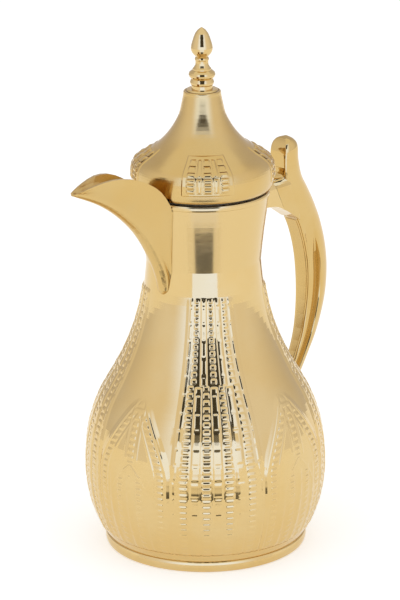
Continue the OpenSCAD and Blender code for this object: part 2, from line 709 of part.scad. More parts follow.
module handle_bottom_screw() {
    head_r = 2.8;
    head = radius_at(inset(body_curve, shell_wall), bottom_screw_z + head_r) - 0.25;
    color(STEEL) union() {
        along_x(head_r, head - 1.5, head, bottom_screw_z);
        along_x(screw_bore, head - 0.1, radius_at(body_curve, bottom_screw_z) + 4.4, bottom_screw_z);
    }
}

// ---- stopper and valve --------------------------------------------------------------------------

module stopper_body() {
    color(PLASTIC) difference() {
        union() {
            ring(stopper_r, waist_r - stopper_wall, shoulder_z, shoulder_z + 2.4);
            ring(waist_r, waist_r - stopper_wall, shoulder_z, thread_low);
            ring(stopper_r, waist_r - stopper_wall, thread_low, stopper_top);
            ring(plug_r, plug_r - stopper_wall, plug_low, shoulder_z + 2.4);
            ring(plug_r - 0.5, valve_disc_r - 4, plug_low, plug_low + seat_t);
            ring(waist_r - 0.5, valve_rod_r + running_gap, deck_low, deck_low + deck_t);
            ring(valve_rod_r + 3, valve_rod_r + running_gap, deck_low, foam_top);
        }
        around(4, 45) translate([plug_r - stopper_wall - 4, 0, deck_low - 4.2])
            rotate([0, 90, 0]) cylinder(r = 2.8, h = 20, $fn = SMALL_ROUND);
    }
}

module stopper_gasket() {
    color(RUBBER) ring(stopper_r - 0.1, plug_r + 0.1, liner_top + seat_gap, shoulder_z);
}

module stopper_foam() {
    color(PLASTIC) ring(waist_r - stopper_wall - seat_gap, valve_rod_r + 3 + seat_gap, deck_low + deck_t, foam_top);
}

module valve_plunger() {
    low = plug_low - 1.6;
    color(PLASTIC) turned([[0, low - 3.2], [valve_disc_r - 2.5, low - 3.2], [valve_disc_r, low - 1.6],
        [valve_disc_r, low], [valve_disc_r - 6, low], [valve_rod_r + 1.5, low + 2.2],
        [valve_rod_r, low + 3.6], [valve_rod_r, rod_top - 0.6], [valve_rod_r - 0.6, rod_top], [0, rod_top]]);
}

module valve_gasket() {
    color(RUBBER) ring(valve_disc_r - 0.4, valve_disc_r - 4.6, plug_low - 1.6, plug_low - seat_gap);
}

// ---- lid ----------------------------------------------------------------------------------------

module lid_dome() {
    inner = inset(dome_curve, dome_wall);
    ceiling = dome_top - 4.4;
    color(GOLD) difference() {
        union() {
            turned(concat(dome_curve, [[0, dome_top], [0, ceiling]],
                reversed(stretch(inner, lid_low, ceiling))));
            around(4, panel_turn) lid_panel();
            around(3, 60) translate([lid_screw_circle, 0, plate_low + plate_t + 0.1]) intersection() {
                cylinder(r = 3.4, h = 17, $fn = SMALL_ROUND);
                translate([-lid_screw_circle, 0, -plate_low - plate_t - 0.1])
                    turned(concat([[0, lid_low]], inset(dome_curve, dome_wall / 2), [[0, dome_top]]));
            }
        }
        translate([0, 0, finial_seat]) cylinder(r = finial_ring_r + 0.4, h = 10, $fn = ROUND);
        translate([0, 0, dome_top - 10]) cylinder(r = 2.1, h = 20, $fn = SMALL_ROUND);
        around(3, 60) translate([lid_screw_circle, 0, plate_low + plate_t - 1])
            cylinder(r = 1.3, h = 12, $fn = SMALL_ROUND);
    }
}

module lid_base() {
    edge = radius_at(inset(dome_curve, dome_wall), plate_low) - seat_gap;
    color(PLASTIC) difference() {
        union() {
            ring(edge, 0, plate_low, plate_low + plate_t);
            ring(waist_r - stopper_wall - running_gap, waist_r - stopper_wall - 2.4, hub_low, plate_low + 0.5);
            ring(cam_r, valve_rod_r + running_gap, hub_low, plate_low + 0.5);
        }
        around(3, 60) translate([lid_screw_circle, 0, plate_low - 1]) cylinder(r = 1.8, h = 5, $fn = SMALL_ROUND);
    }
}

module lid_screws() {
    color(STEEL) around(3, 60) translate([lid_screw_circle, 0, plate_low]) {
        translate([0, 0, -1.5]) cylinder(r = 2.8, h = 1.5, $fn = SMALL_ROUND);
        translate([0, 0, -0.1]) cylinder(r = 1.2, h = 11, $fn = SMALL_ROUND);
    }
}

// Beads, rings and acorn of the finial, as shares of its height and of the acorn's radius.
finial_shape = [[0.06, 0.975], [0.112, 0.96], [0.13, 1.05], [0.161, 1.1], [0.19, 1.04], [0.211, 0.98],
    [0.227, 1.06], [0.25, 1.17], [0.279, 1.22], [0.31, 1.16], [0.336, 0.98], [0.349, 0.84], [0.365, 0.85],
    [0.391, 0.72], [0.422, 0.62], [0.453, 0.59], [0.484, 0.59], [0.495, 0.63], [0.513, 0.65], [0.531, 0.62],
    [0.542, 0.555], [0.563, 0.64], [0.591, 0.8], [0.62, 0.91], [0.651, 0.975], [0.688, 1], [0.727, 0.96],
    [0.781, 0.87], [0.844, 0.75], [0.904, 0.6], [0.956, 0.38], [0.984, 0.16]];
module finial() {
    tip = dome_top + finial_h;
    full = tip - finial_seat;
    color(GOLD_BRIGHT) difference() {
        turned(concat([[0, finial_seat], [finial_ring_r, finial_seat], [finial_ring_r, finial_seat + 1.3],
                [finial_ring_r - 0.7, finial_seat + 2.2]],
            [for (s = finial_shape) [acorn_r * s[1], finial_seat + full * s[0]]], [[0, tip]]));
        translate([0, 0, finial_seat - 1]) cylinder(r = 1.5, h = 15, $fn = SMALL_ROUND);
    }
}

module finial_screw() {
    color(STEEL) union() {
        translate([0, 0, dome_top - 4.4 - 2.2]) cylinder(r = 3.6, h = 2.2, $fn = SMALL_ROUND);
        translate([0, 0, dome_top - 4.5]) cylinder(r = 1.5, h = 14, $fn = SMALL_ROUND);
    }
}

body_shell();
foot_ring();
base_screws();
bottom_cap();
base_cushion();
liner_outer_glass();
liner_inner_glass();
liner_spacers();
mouth_seal();
neck_collar();
neck_insert();
spout();
spout_screws();
handle_shell();
handle_inner_cover();
handle_top_screw();
handle_bottom_screw();
stopper_body();
stopper_gasket();
stopper_foam();
valve_plunger();
valve_gasket();
lid_dome();
lid_base();
lid_screws();
finial();
finial_screw();
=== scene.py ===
"""Dresses the jointed dallah: embossing, plating, inner parts, stage, light and camera."""

import math

import bpy
from bpy.props import FloatProperty, FloatVectorProperty, PointerProperty
from mathutils import Matrix, Vector
from mathutils.bvhtree import BVHTree


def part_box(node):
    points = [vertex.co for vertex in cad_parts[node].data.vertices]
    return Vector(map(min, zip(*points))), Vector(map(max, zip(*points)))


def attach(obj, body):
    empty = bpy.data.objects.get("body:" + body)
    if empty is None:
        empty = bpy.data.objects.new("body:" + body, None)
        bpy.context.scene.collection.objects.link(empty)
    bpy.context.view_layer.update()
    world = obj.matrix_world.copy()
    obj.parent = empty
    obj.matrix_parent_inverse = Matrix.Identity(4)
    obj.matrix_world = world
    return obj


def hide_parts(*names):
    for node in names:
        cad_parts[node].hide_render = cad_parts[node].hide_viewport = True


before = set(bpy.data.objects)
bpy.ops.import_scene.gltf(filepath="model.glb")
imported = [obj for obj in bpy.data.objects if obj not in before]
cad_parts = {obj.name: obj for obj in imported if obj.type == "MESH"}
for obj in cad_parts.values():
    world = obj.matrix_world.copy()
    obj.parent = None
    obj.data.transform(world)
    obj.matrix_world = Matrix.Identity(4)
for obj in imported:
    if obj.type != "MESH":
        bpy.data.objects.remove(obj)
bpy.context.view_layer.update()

bl_info = {
    "name": "Dallah Coffee Pot",
    "version": (1, 0, 0),
    "blender": (4, 5, 0),
    "location": "View3D > Sidebar > Dallah",
    "description": "Embosses, finishes, lights and frames the jointed coffee pot",
    "category": "Object",
}

MM = 0.001
RAY_START = 0.3  # level rays start this far from the axis


# ---- settings

def a_number(name, description, default, **kind):
    return FloatProperty(name=name, description=description, default=default, **kind)


def a_length(*words):
    return a_number(*words, unit="LENGTH")


def an_angle(*words):
    return a_number(*words, subtype="ANGLE")


def a_share(*words):
    return a_number(*words, min=0, max=1, subtype="FACTOR")


def a_colour(name, description, default):
    return FloatVectorProperty(name=name, description=description, default=default,
                               subtype="COLOR", size=3, min=0, max=1)


class DallahEmbossing(bpy.types.PropertyGroup):
    """Sizes of the pattern that covers the lower body."""

    ground: a_length(
        "Ground", "How far the ground of a motif stands proud of the plain shell", 0.48 * MM)
    bar_height: a_length(
        "Bar height", "How far the level bars stand proud of the ground", 0.4 * MM)
    rib_height: a_length(
        "Rib height", "How far the upright tiles stand proud of the ground", 0.43 * MM)
    crown: a_length("Crown", "How far a tile is crowned above its edges", 0.18 * MM)
    bar_pitch: a_length("Bar pitch", "Height from one level bar to the next", 3.7 * MM)
    tile_pitch: a_length("Tile pitch", "Height from one upright tile to the next", 9.5 * MM)
    lowest: a_length(
        "Lowest row", "Height at which the pattern starts above the foot", 13 * MM)
    tall_top: a_length(
        "Top of the tall motifs", "Height at which the tall motifs end", 158 * MM)
    first_motif: an_angle(
        "First tall motif", "Azimuth of the middle of one tall motif", math.radians(229))


class DallahFinish(bpy.types.PropertyGroup):
    """Colours and roughness of the plating, and the colour of the parts inside."""

    gold: a_colour("Champagne gold", "Colour of the plated shells", (0.69, 0.49, 0.205))
    pale_gold: a_colour(
        "Pale gold", "Colour of the plating where it is hazy", (0.70, 0.52, 0.245))
    ivory: a_colour("Ivory", "Colour of the moulded inner parts", (0.78, 0.74, 0.65))
    satin: a_share("Satin roughness", "Roughness of the plating of lid and spout", 0.21)
    bright: a_share("Bright roughness", "Roughness of the plating of the body", 0.085)
    polish: a_share("Polished roughness", "Roughness of the polished plating", 0.06)


class DallahStage(bpy.types.PropertyGroup):
    """The studio round the pot."""

    box_light: a_number(
        "Box light", "Brightness of the two upright light boxes", 0.3, min=0)
    room_light: a_number(
        "Room light", "Brightness of the room for matt surfaces", 0.75, min=0)
    camera_distance: a_length(
        "Camera distance", "Level distance from the pot's axis to the camera", 1891.85 * MM)
    camera_height: a_length(
        "Camera height", "Height of the camera above the floor", 760 * MM)
    camera_azimuth: an_angle(
        "Camera azimuth", "Where the camera stands round the pot", math.radians(223))
    camera_pitch: an_angle("Camera pitch", "How far the camera looks down", 0.3126)


# ---- small helpers

def clear_selection():
    """Leaves edit mode and deselects everything, CAD nodes included."""
    if bpy.context.mode != "OBJECT":
        bpy.ops.object.mode_set(mode="OBJECT")
    bpy.ops.object.select_all(action="DESELECT")


def make_active(thing):
    clear_selection()
    thing.select_set(True)
    bpy.context.view_layer.objects.active = thing


def smooth_by_angle(thing, degrees):
    make_active(thing)
    bpy.ops.object.shade_smooth_by_angle(angle=math.radians(degrees))


def join_to(piece, other):
    """Joins another object to a piece and moves the piece's place into its mesh."""
    make_active(piece)
    other.select_set(True)
    bpy.ops.object.join()
    bpy.ops.object.transform_apply(location=True, rotation=True, scale=True)


def toward(azimuth):
    """Level unit vector at an azimuth."""
    return Vector((math.cos(azimuth), math.sin(azimuth), 0))


class ShellFace:
    """The plain outer face of a turned CAD shell, read at an azimuth without a pattern."""

    def __init__(self, node, free_azimuth):
        graph = bpy.context.evaluated_depsgraph_get()
        self.tree = BVHTree.FromObject(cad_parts[node], graph)
        self.out = toward(free_azimuth)

    def radius(self, height):
        """Distance of the face from the axis at a height."""
        hit = self.tree.ray_cast(self.out * RAY_START + Vector((0, 0, height)), -self.out)
        return hit[0].to_2d().length


# ---- embossing

COLUMN = math.radians(11.25)  # from one column of bars to the next at the foot
COLUMN_LEAN = 0.147  # share of its width that a column has lost at the end of the span
NARROWING_START = 60 * MM  # above this the columns lean together
NARROWING_SPAN = 85 * MM
FEWER_COLUMNS = 112 * MM  # above this a tall motif has fewer, wider columns
WIDEST = 70 * MM  # radius of the belly, where the columns have their full width
RIB_HALF = math.radians(1.8)  # half width of an upright rib
RIB_EDGE = 0.65 * MM
BAR_HALF = 2.25 * MM
SOFT_EDGE = 1.0 * MM  # width of the slope at the end of a bar
BAR_ROW_HALF = 1.6 * MM  # half height of a level bar with its slopes
BAR_ROW_EDGE = 1.0 * MM
TILE_GROOVE = 0.35 * MM  # half the groove between two upright tiles
TILE_ROW_EDGE = 1.2 * MM
BORDER = 1.8 * MM  # width of the slope round a motif at the foot
SOFTENING_SPAN = 15 * MM  # height in which that slope reaches its full width
HANDLE_BORDER = 1.1 * MM
SUNK = 0.06 * MM  # how far a motif's rim lies below the plain shell
ARCH_FOOT = 60 * MM
ARCH_TOP = 96 * MM
ARCH_FADE = 8 * MM
ARCH_SPAN = 46 * MM  # height in which the arch would close to a point
ARCH_HALF = math.radians(21)
ARCH_BAND = math.radians(7.3)  # width of the band of bars that follows the arch
MIDDLE_RIB = math.radians(3.6)
HANDLE_LAND = 9.15 * MM  # half width of the plain strip that the handle stands on
HANDLE_LAND_LOW = 56.5 * MM
HANDLE_LAND_HIGH = 100.5 * MM
FREE_GROOVE = math.radians(23.25)  # from a tall motif's middle to the plain groove beside it
SHEET_WALL = 0.3 * MM
SHEET_MARGIN = 1.1  # how many border widths a sheet reaches past its motif
SLOPE_STEP = 0.5 * MM  # the shell's slope is read this far below and above a place
FIRST_PANEL = math.radians(227)  # azimuth of the first panel of the lid
PANEL_RISE = 5.6 * MM  # from the dome's edge to the panels


def column_step(height):
    """Angle between columns of bars, which shrinks up the neck of a tall motif."""
    rise = max(0.0, height - NARROWING_START)
    return COLUMN * (1 - COLUMN_LEAN * math.sqrt(rise / NARROWING_SPAN))


def arch_half(height):
    """Half angle of the pointed arch of a short motif at a height."""
    rise = max(0.0, height - ARCH_FOOT) / ARCH_SPAN
    return ARCH_HALF * (1 - rise ** 1.5)


def slope(distance, width):
    """Goes smoothly from 0 at no distance to 1 at the width."""
    share = min(max(distance / width, 0.0), 1.0)
    return share * share * (3 - 2 * share)


def dome(offset, half):
    """A round crest, 1 in the middle and 0 from the half width on."""
    if abs(offset) >= half:
        return 0.0
    return math.cos(math.pi / 2 * offset / half) ** 2


def row_offset(height, sizes, pitch):
    """Distance from the middle of the nearest row."""
    rise = (height - sizes.lowest) / pitch
    return (rise - math.floor(rise) - 0.5) * pitch


def bar_row(height, sizes):
    """1 along a row of level bars, falling to 0 between two rows."""
    return slope(BAR_ROW_HALF - abs(row_offset(height, sizes, sizes.bar_pitch)), BAR_ROW_EDGE)


def tile_row(height, sizes):
    """1 along a row of upright tiles, falling to 0 in the groove between two rows."""
    end = sizes.tile_pitch / 2 - TILE_GROOVE
    return slope(end - abs(row_offset(height, sizes, sizes.tile_pitch)), TILE_ROW_EDGE)


def raised(ground, top, field):
    """Height over the shell of a top on its ground, sunk below the shell outside the field."""
    return (ground + SUNK + top) * field - SUNK


class BodyMotif:
    """What the motifs of the body share: sizes, lower and upper end, and a soft border."""

    def __init__(self, sizes, high):
        self.sizes = sizes
        self.low = sizes.lowest - BORDER
        self.high = high

    def border(self, height):
        """Width of the slope round the motif, which is softer above the belly."""
        return BORDER * (1 + self.softening * slope(height - NARROWING_START, SOFTENING_SPAN))


class TallMotif(BodyMotif):
    """Height of the pattern over the shell across one tall motif."""

    mesh_size = (124, 330)
    softening = 0.5
    half_columns = 2
    low_ribs, low_bars = (-1, 0, 1), (-1.5, -0.5, 0.5, 1.5)  # columns below the change
    high_ribs, high_bars = (-2 / 3, 2 / 3), (-4 / 3, 0, 4 / 3)  # columns above it
    rib_stop = 0.3 * MM  # how far below the change the lower ribs end
    rib_start = 0.1 * MM  # how far above it the upper ribs start
    rib_cover = 0.2 * MM  # how far a rib reaches past the solid's rib on each side
    crown_cover = 0.1 * MM
    crown_edge = 1.1 * MM
    edge_share = 0.8  # height of the raised edge, as a share of a bar's
    edge_half = 0.85 * MM

    def half_width(self, height):
        return self.half_columns * column_step(height)

    def row(self, height, radius):
        """Lift of the shell at an angle from the middle, for one level."""
        sizes = self.sizes
        step = column_step(height)
        bar_reach = BAR_HALF * radius * step / (WIDEST * COLUMN) + SOFT_EDGE / 2
        rib_half = RIB_HALF * radius * step / COLUMN + self.rib_cover
        bars_below = round((FEWER_COLUMNS - sizes.lowest) / sizes.bar_pitch)
        last_row = sizes.lowest + bars_below * sizes.bar_pitch
        bars = self.low_bars if height < last_row else self.high_bars
        if height < FEWER_COLUMNS:
            ribs = self.low_ribs
            rib_end = slope(FEWER_COLUMNS - self.rib_stop - height, RIB_EDGE)
        else:
            ribs = self.high_ribs
            rib_end = slope(height - FEWER_COLUMNS - self.rib_start, RIB_EDGE)
        bar_crest = bar_row(height, sizes)
        tile_crest = tile_row(height, sizes)
        ends = slope(height - self.low, BORDER) * slope(self.high - height, 2 * BORDER)
        border = self.border(height)

        def lift(angle):
            inside = (self.half_columns * step - abs(angle)) * radius
            top = 0.0
            for share in ribs:
                away = abs(angle - share * step) * radius
                rib = sizes.rib_height * slope(rib_half + RIB_EDGE - away, RIB_EDGE)
                crown = slope(rib_half + self.crown_cover - away, self.crown_edge)
                top = max(top, (rib + sizes.crown * tile_crest * crown) * rib_end)
            for share in bars:
                away = abs(angle - share * step) * radius
                end = slope(bar_reach - away, SOFT_EDGE)
                top = max(top, sizes.bar_height * bar_crest * end)
            edge = dome(inside - self.edge_half, self.edge_half)
            top = max(top, self.edge_share * sizes.bar_height * tile_crest * edge)
            return raised(sizes.ground, top, slope(inside + border, border) * ends)

        return lift


class ShortMotif(BodyMotif):
    """Height of the pattern over the shell across one arched motif."""

    mesh_size = (128, 204)
    softening = 1.3
    columns_top = 62 * MM  # where the upright columns under the arch have ended
    columns_fade = 6 * MM
    foot_top = 46 * MM  # where the inner arch begins to close
    foot_fade = 4 * MM
    inner_arch_low = 40 * MM
    inner_arch_high = 66 * MM
    inner_arch_half = math.radians(11)
    middle_fade = 2 * MM
    band_place = 0.56  # from the arch in to the middle of its band, as a share of the band
    bar_share = 0.8  # length of a bar, as a share of one on a tall motif
    groove_share = 0.45  # height of a rib in the groove between two tiles, as a share
    rib_half = 2.6 * MM
    ridge_half = 1.4 * MM
    ridge_inset = math.radians(0.8)

    def half_width(self, height):
        return arch_half(height)

    def row(self, height, radius):
        """Lift of the shell at an angle from the middle, for one level."""
        sizes = self.sizes
        scale = radius / WIDEST
        half = self.half_width(height)
        bar_height = sizes.bar_height * bar_row(height, sizes)
        bar_reach = BAR_HALF * scale * self.bar_share + SOFT_EDGE / 2
        rib_crest = self.groove_share + (1 - self.groove_share) * tile_row(height, sizes)
        ends = slope(height - self.low, BORDER) * slope(self.high - height, ARCH_FADE)
        border = self.border(height)
        below_arch = slope(self.columns_top - height, self.columns_fade)
        middle = slope(height - self.inner_arch_high, self.middle_fade)
        foot = slope(self.foot_top - height, self.foot_fade)
        # Angle from the middle and share of the full height of each bar, rib and ridge.
        bars = [(half - self.band_place * ARCH_BAND, 1.0), (0.5 * COLUMN, below_arch),
                (0.0, middle)]
        ribs = [(0.0, below_arch), (COLUMN, max(foot, 0.6 * below_arch))]
        ridges = [(half - self.ridge_inset, 0.8), (half - ARCH_BAND, 0.7 * (1 - foot)),
                  (MIDDLE_RIB, 0.7 * middle)]
        if self.inner_arch_low < height < self.inner_arch_high:
            rise = max(height - self.foot_top, 0.0) / (self.inner_arch_high - self.foot_top)
            ridges.append((self.inner_arch_half * (1 - min(rise, 1.0) ** 1.6), 0.6))

        def lift(angle):
            side = abs(angle)
            top = 0.0
            for place, share in bars:
                away = abs(side - place) * radius
                top = max(top, share * bar_height * slope(bar_reach - away, SOFT_EDGE))
            for place, share in ribs:
                crest = rib_crest * dome((side - place) * radius, self.rib_half * scale)
                top = max(top, share * sizes.rib_height * crest)
            for place, share in ridges:
                crest = dome((side - place) * radius, self.ridge_half)
                top = max(top, share * sizes.rib_height * crest)
            field = slope((half - side) * radius + border, border) * ends
            return raised(sizes.ground, top, field)

        return lift


class LidPanel:
    """Height of the pattern over the dome across one panel of the lid."""

    mesh_size = (132, 104)
    half_angle = math.radians(20.5)
    length = 19 * MM
    rim = 1.0 * MM  # width of the slope round the panel
    margin = 1 * MM  # from the panel's end to its first row
    rows = 6
    tile_rows = 3  # rows of bars beside one tile
    bar_columns = (-14, 0, 14)  # in degrees from the panel's middle
    tile_columns = (-7, 7)
    bar_half = math.radians(3.9)
    tile_half = math.radians(2.5)
    end = 1.1 * MM  # width of the slope at the end of a bar or tile
    ground = 0.42 * MM
    pad = 0.72 * MM  # height of bars and tiles over the ground

    def __init__(self, foot):
        self.foot = foot
        self.low = foot - self.rim
        self.high = foot + self.length + self.rim
        self.row_height = (self.length - 2 * self.margin) / self.rows

    def half_width(self, height):
        return self.half_angle

    def border(self, height):
        return self.rim

    def row(self, height, radius):
        """Lift of the shell at an angle from the middle, for one level."""
        rise = height - self.foot - self.margin
        bar_crest = tile_crest = 0.0
        if 0 <= rise <= self.rows * self.row_height:
            bar_crest = math.sin(math.pi * (rise % self.row_height) / self.row_height)
            tile = self.tile_rows * self.row_height
            tile_crest = slope(tile / 2 - abs(rise % tile - tile / 2), self.end)
        ends = slope(height - self.low, self.rim) * slope(self.high - height, self.rim)

        def lift(angle):
            top = 0.0
            for at in self.bar_columns:
                away = (self.bar_half - abs(angle - math.radians(at))) * radius
                top = max(top, self.pad * bar_crest * slope(away, self.end))
            for at in self.tile_columns:
                across = dome(angle - math.radians(at), self.tile_half) ** 0.5
                top = max(top, self.pad * tile_crest * across)
            inside = (self.half_angle - abs(angle)) * radius
            return raised(self.ground, top, slope(inside + self.rim, self.rim) * ends)

        return lift


def beside_handle(azimuth, height, radius):
    """1 on the shell, falling to 0 in the plain strip that the handle stands on."""
    if math.cos(azimuth) < 0:
        return 1.0
    aside = abs(radius * math.sin(azimuth)) - HANDLE_LAND
    outside = max(aside, HANDLE_LAND_LOW - height, height - HANDLE_LAND_HIGH)
    return slope(outside + HANDLE_BORDER, HANDLE_BORDER)


def new_grid(name, across, up):
    """A grid with a number of cells across and up, whose points the caller places."""
    clear_selection()
    bpy.ops.mesh.primitive_grid_add(x_subdivisions=across, y_subdivisions=up, size=2)
    grid = bpy.context.active_object
    grid.name = grid.data.name = name
    return grid


def embossed_sheet(motif, face, middle, name):
    """A thin sheet on the shell that carries one motif, shaped from a grid and given a wall."""
    across, up = motif.mesh_size
    sheet = new_grid(name, across, up)
    points = iter(sheet.data.vertices)
    for line in range(up + 1):
        height = motif.low + (motif.high - motif.low) * line / up
        radius = face.radius(height)
        rise = face.radius(height + SLOPE_STEP) - face.radius(height - SLOPE_STEP)
        rise /= 2 * SLOPE_STEP
        steep = math.hypot(1, rise)
        lift = motif.row(height, radius)
        reach = motif.half_width(height) + SHEET_MARGIN * motif.border(height) / radius
        for column in range(across + 1):
            angle = reach * (2 * column / across - 1)
            azimuth = middle + angle
            proud = raised(0.0, lift(angle), beside_handle(azimuth, height, radius))
            out = radius + proud / steep
            level = height - proud * rise / steep
            next(points).co = (out * math.cos(azimuth), out * math.sin(azimuth), level)
    make_active(sheet)
    wall = sheet.modifiers.new("wall", "SOLIDIFY")
    wall.thickness = SHEET_WALL
    wall.offset = -1
    bpy.ops.object.modifier_apply(modifier=wall.name)
    smooth_by_angle(sheet, 60)
    return sheet


def body_face():
    """The body's plain face, read in the groove between a tall and a short motif."""
    first = bpy.context.scene.dallah_embossing.first_motif
    return ShellFace("body_shell", first + FREE_GROOVE)


def paint(piece, gold):
    """Gives a piece one material."""
    piece.data.materials.clear()
    piece.data.materials.append(gold)


def finish_sheets(sheets, body, gold):
    """Plates the sheets of a pattern and lets them ride their body."""
    for sheet in sheets:
        paint(sheet, gold)
        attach(sheet, body)


def quarters(sheet, middles):
    """The sheet, made at the first azimuth, and copies of it turned to the others."""
    sheets = [sheet]
    for number, middle in enumerate(middles[1:], start=2):
        turned = sheet.copy()
        turned.data = sheet.data.copy()
        turned.name = turned.data.name = f"{sheet.name.removesuffix('_1')}_{number}"
        turned.data.transform(Matrix.Rotation(middle - middles[0], 4, "Z"))
        bpy.context.scene.collection.objects.link(turned)
        sheets.append(turned)
    return sheets


class DALLAH_OT_tall_motifs(bpy.types.Operator):
    """Embosses the four tall motifs that climb from the foot to the shoulder"""

    bl_idname = "dallah.tall_motifs"
    bl_label = "Tall motifs"

    def execute(self, context):
        sizes = context.scene.dallah_embossing
        middles = [sizes.first_motif + quarter * math.pi / 2 for quarter in range(4)]
        motif = TallMotif(sizes, sizes.tall_top + 2 * BORDER)
        first = embossed_sheet(motif, body_face(), middles[0], "tall_motif_1")
        finish_sheets(quarters(first, middles), "pot", plated("bright_gold"))
        return {"FINISHED"}


class DALLAH_OT_short_motifs(bpy.types.Operator):
    """Embosses the four arched motifs between the tall ones, one round the handle's foot"""

    bl_idname = "dallah.short_motifs"
    bl_label = "Short motifs"

    def execute(self, context):
        sizes = context.scene.dallah_embossing
        face = body_face()
        motif = ShortMotif(sizes, ARCH_TOP + ARCH_FADE)
        middles = [sizes.first_motif + (quarter - 0.5) * math.pi / 2 for quarter in range(4)]
        under_handle = max(middles, key=math.cos)
        middles.remove(under_handle)
        sheets = quarters(embossed_sheet(motif, face, middles[0], "short_motif_1"), middles)
        sheets.append(embossed_sheet(motif, face, under_handle, "short_motif_4"))
        finish_sheets(sheets, "pot", plated("bright_gold"))
        return {"FINISHED"}


class DALLAH_OT_lid_panels(bpy.types.Operator):
    """Embosses the four panels on the lid"""

    bl_idname = "dallah.lid_panels"
    bl_label = "Lid panels"

    def execute(self, context):
        middles = [FIRST_PANEL + quarter * math.pi / 2 for quarter in range(4)]
        motif = LidPanel(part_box("lid_dome")[0].z + PANEL_RISE)
        face = ShellFace("lid_dome", FIRST_PANEL + math.pi / 4)
        first = embossed_sheet(motif, face, middles[0], "lid_panel_1")
        finish_sheets(quarters(first, middles), "lid", plated("deep_gold"))
        return {"FINISHED"}


# ---- handle

# One row for each section from the knob down to the foot: reach and height of the inner
# point, reach and height of the outer point, half width of the inner face and largest half
# width. They are shares of the way from the body to the handle's back, of the way up to the
# knob, and of the half width.
HANDLE_SHAPE = [
    (0.032, 0.999, 0.08, 1, 0.075, 0.113),
    (-0.053, 0.99, 0.176, 0.988, 0.453, 0.68),
    (-0.117, 0.965, 0.25, 0.965, 0.63, 0.956),
    (-0.136, 0.914, 0.271, 0.914, 0.654, 1),
    (-0.117, 0.853, 0.351, 0.856, 0.654, 1),
    (-0.043, 0.793, 0.495, 0.807, 0.654, 0.98),
    (0.101, 0.729, 0.662, 0.745, 0.64, 0.956),
    (0.266, 0.657, 0.824, 0.669, 0.63, 0.918),
    (0.386, 0.573, 0.952, 0.576, 0.63, 0.893),
    (0.441, 0.484, 1, 0.481, 0.63, 0.855),
    (0.434, 0.389, 0.947, 0.378, 0.553, 0.792),
    (0.359, 0.288, 0.771, 0.271, 0.453, 0.692),
    (0.229, 0.21, 0.551, 0.19, 0.39, 0.616),
    (0.08, 0.153, 0.351, 0.123, 0.377, 0.579),
    (-0.117, 0.095, 0.133, 0.052, 0.428, 0.616),
    (-0.223, 0.063, -0.064, 0, 0.453, 0.654),
]
HANDLE_FOOT = 60.5 * MM
HANDLE_HALF = 7.95 * MM
HANDLE_STEPS = 10  # rings from one section to the next
INNER_GAP = 0.2 * MM  # from the shape's inner point to the casing's inner face
BELLY_TOP = 90 * MM  # below this height the casing ends within the body's wall
WALL_COVER = 1.6 * MM
SECTION_HALF = 72  # points on one side of a ring
BACK_END = 0.45  # share of those points that lie on the round back
FLANK_END = 0.85  # the flank ends here and the flat inner face begins
WIDEST_DEPTH = 0.42  # share of the depth from the inner face at which a section is widest
CHANNEL_START = 6.5  # the section where the channel in the handle's side begins
CHANNEL_FADE = 2.2  # sections in which it reaches its depth
CHANNEL_MIDDLE = 0.27  # share of the depth from the inner face
CHANNEL_HALF = 0.23
CHANNEL_INNER_EDGE = 0.1
CHANNEL_OUTER_EDGE = 0.06
CHANNEL_DEPTH = 4.2 * MM
# Place and outward direction of the two cuts that leave the solid handle's arm: within the
# casing and below the bracket.
ARM_CUTS = (
    ((72 * MM, 0, 198 * MM), (1, 0, 0.381)),
    ((0, 0, 181.5 * MM), (0, 0, -1)),
)


def curve_through(values, place):
    """Smooth value at a place between the entries of a list."""
    index = min(int(place), len(values) - 2)
    share = place - index
    a, b = values[max(index - 1, 0)], values[index]
    c, d = values[index + 1], values[min(index + 2, len(values) - 1)]
    return 0.5 * (2 * b + (c - a) * share + (2 * a - 5 * b + 4 * c - d) * share ** 2
                  + (3 * b - a - 3 * c + d) * share ** 3)


def handle_side(along, inner, widest, channel):
    """Depth share and half width of a section at a share of the way from back to inner face."""
    if along >= FLANK_END:
        return 0.0, inner * (1 - (along - FLANK_END) / (1 - FLANK_END))
    if along < BACK_END:
        turn = math.pi / 2 * along / BACK_END
        depth = WIDEST_DEPTH + (1 - WIDEST_DEPTH) * math.cos(turn)
        half = widest * math.sin(turn)
    else:
        turn = math.pi / 2 * (along - BACK_END) / (FLANK_END - BACK_END)
        depth = WIDEST_DEPTH * (1 - math.sin(turn))
        half = inner + (widest - inner) * math.cos(turn)
    away = depth - CHANNEL_MIDDLE
    from_inner = slope(away + CHANNEL_HALF, CHANNEL_INNER_EDGE)
    from_outer = slope(CHANNEL_HALF - away, CHANNEL_OUTER_EDGE)
    return depth, half - channel * from_inner * from_outer


